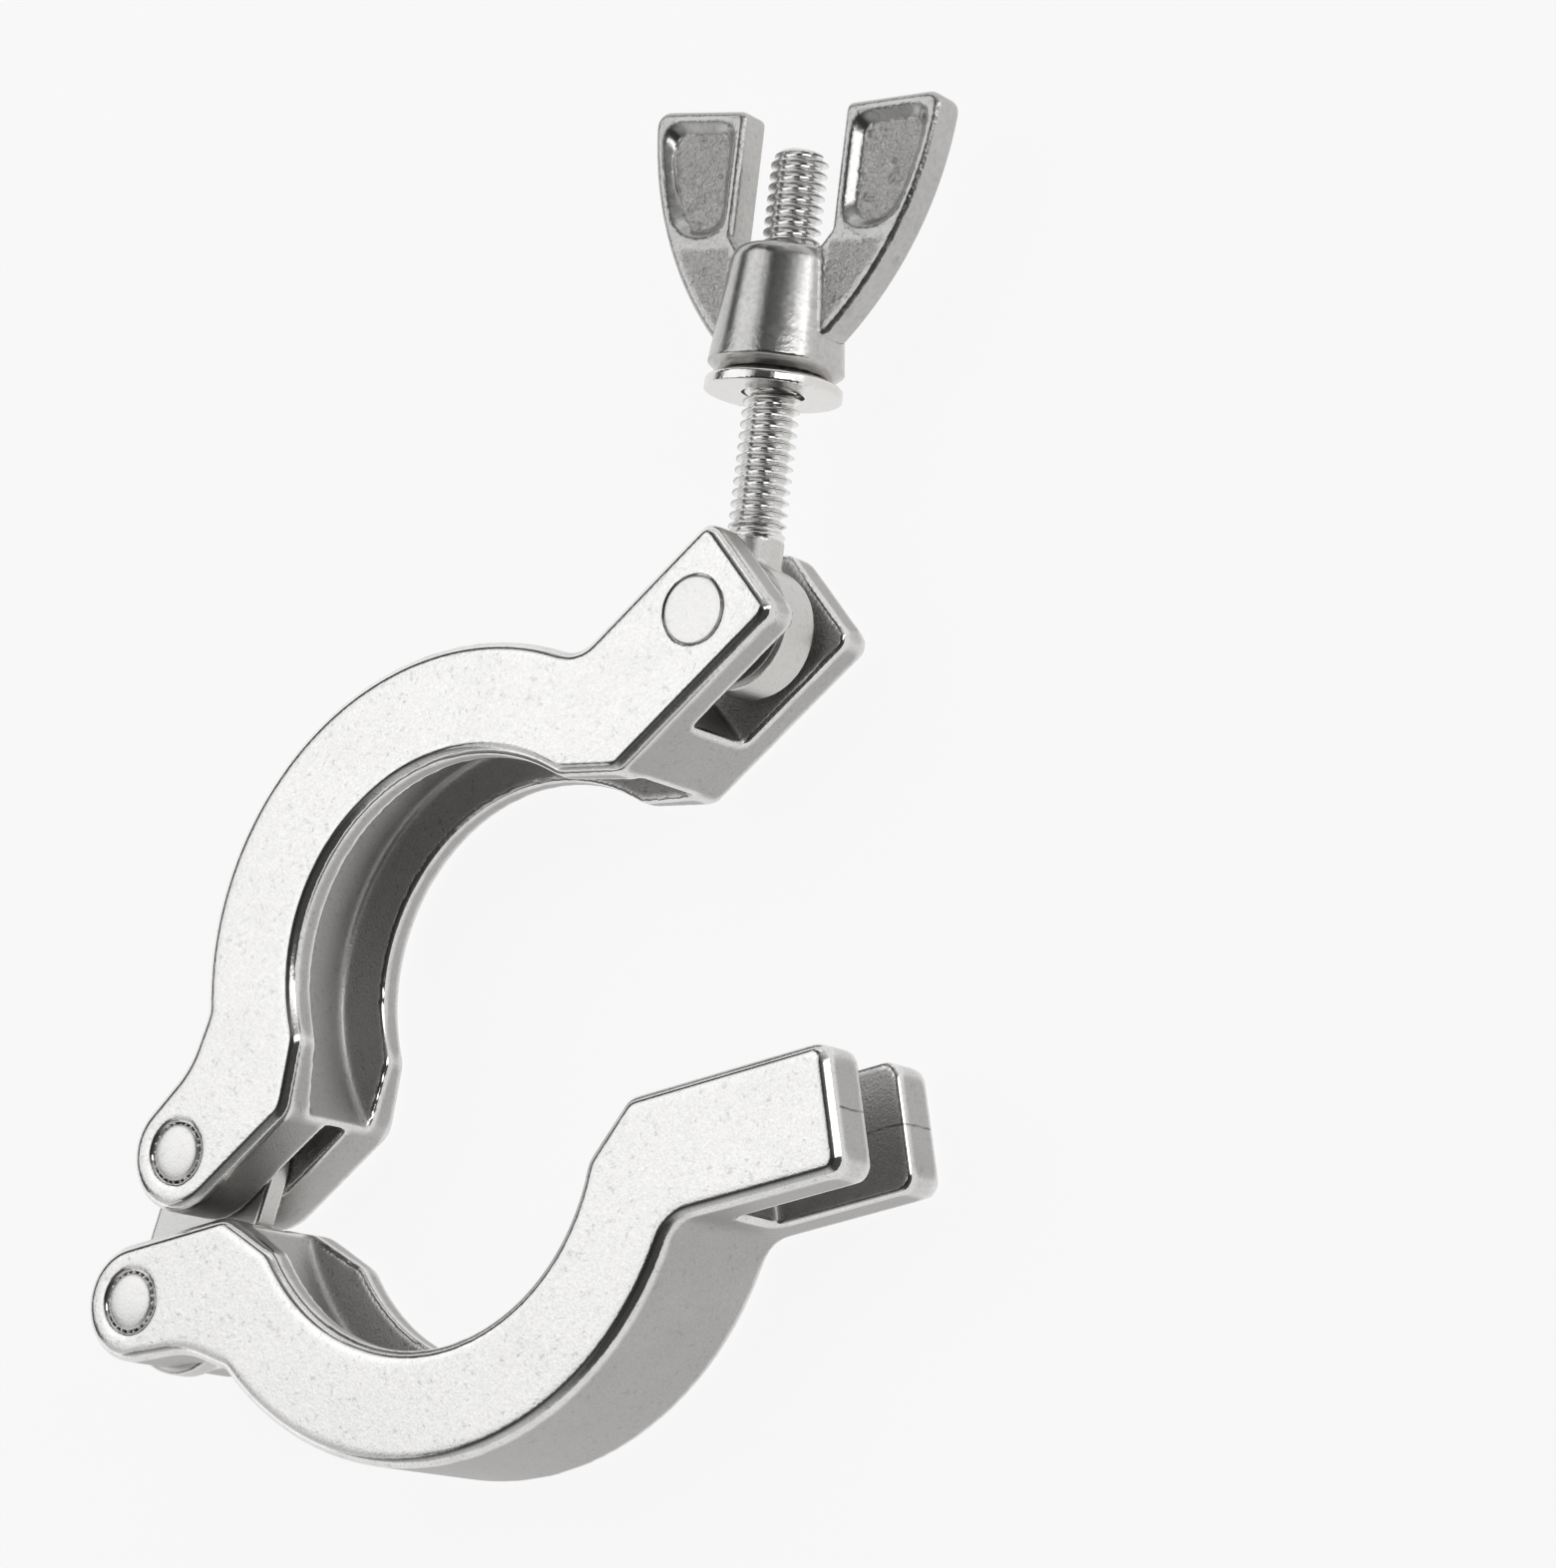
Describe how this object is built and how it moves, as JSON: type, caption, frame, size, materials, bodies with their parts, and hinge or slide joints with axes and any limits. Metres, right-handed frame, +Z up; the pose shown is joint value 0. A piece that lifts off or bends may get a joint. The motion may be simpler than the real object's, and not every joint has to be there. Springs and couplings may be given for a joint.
{
  "type": "kf flange clamp",
  "caption": "Hinged cast stainless clamp for KF vacuum flanges: V-grooved jaws on a link, closed by a swing bolt with washer and wing nut, shown open.",
  "frame": {"origin": "centre line of the lower jaw's flange seat, at the middle of the clamp's thickness, where the two flanges meet", "axes": "+Z up along the flange axis, +X along the lower jaw's closing line from hinge to lug, +Y towards the upper jaw"},
  "size_m": [0.1269, 0.1445, 0.02],
  "materials": {
    "cast_steel": "satin, bead blasted",
    "pin_steel": "satin",
    "link_steel": "satin",
    "bolt_steel": "polished",
    "nut_steel": "cast, part polished"
  },
  "bodies": {
    "lower": {"lower_jaw": "cast_steel", "lower_hinge_pin": "pin_steel"},
    "link": {"hinge_link": "link_steel"},
    "upper": {"upper_jaw": "cast_steel", "upper_hinge_pin": "pin_steel", "bolt_pin": "pin_steel"},
    "bolt": {"swing_bolt": "bolt_steel"},
    "washer": {"washer": "bolt_steel"},
    "nut": {"wing_nut": "nut_steel"}
  },
  "joints": [
    {"name": "link_swing", "type": "hinge", "parent": "lower", "child": "link", "pos_m": [-0.0419, -0.0087, 0], "axis": [0, 0, 1], "range_deg": [0, 29.01]},
    {"name": "jaw_swing", "type": "hinge", "parent": "link", "child": "upper", "pos_m": [-0.03346, 0.00652, 0], "axis": [0, 0, 1], "range_deg": [-56.8, 0]},
    {"name": "bolt_swing", "type": "hinge", "parent": "upper", "child": "bolt", "pos_m": [0.04343, 0.04785, 0], "axis": [0, 0, 1], "range_deg": [-135.9, 30]},
    {"name": "washer_slide", "type": "slide", "parent": "bolt", "child": "washer", "axis": [0.2807, 0.9598, 0], "range_m": [0, 0.009]},
    {"name": "nut_spin", "type": "hinge", "parent": "washer", "child": "nut", "pos_m": [0.04343, 0.04785, 0], "axis": [0.2807, 0.9598, 0], "range_deg": [0, 2551.2]}
  ],
  "couplings": [
    {"joint": "link_swing", "follows": "jaw_swing", "ratio": -0.51056},
    {"joint": "nut_spin", "follows": "washer_slide", "rad_per_m": 4947.4}
  ]
}
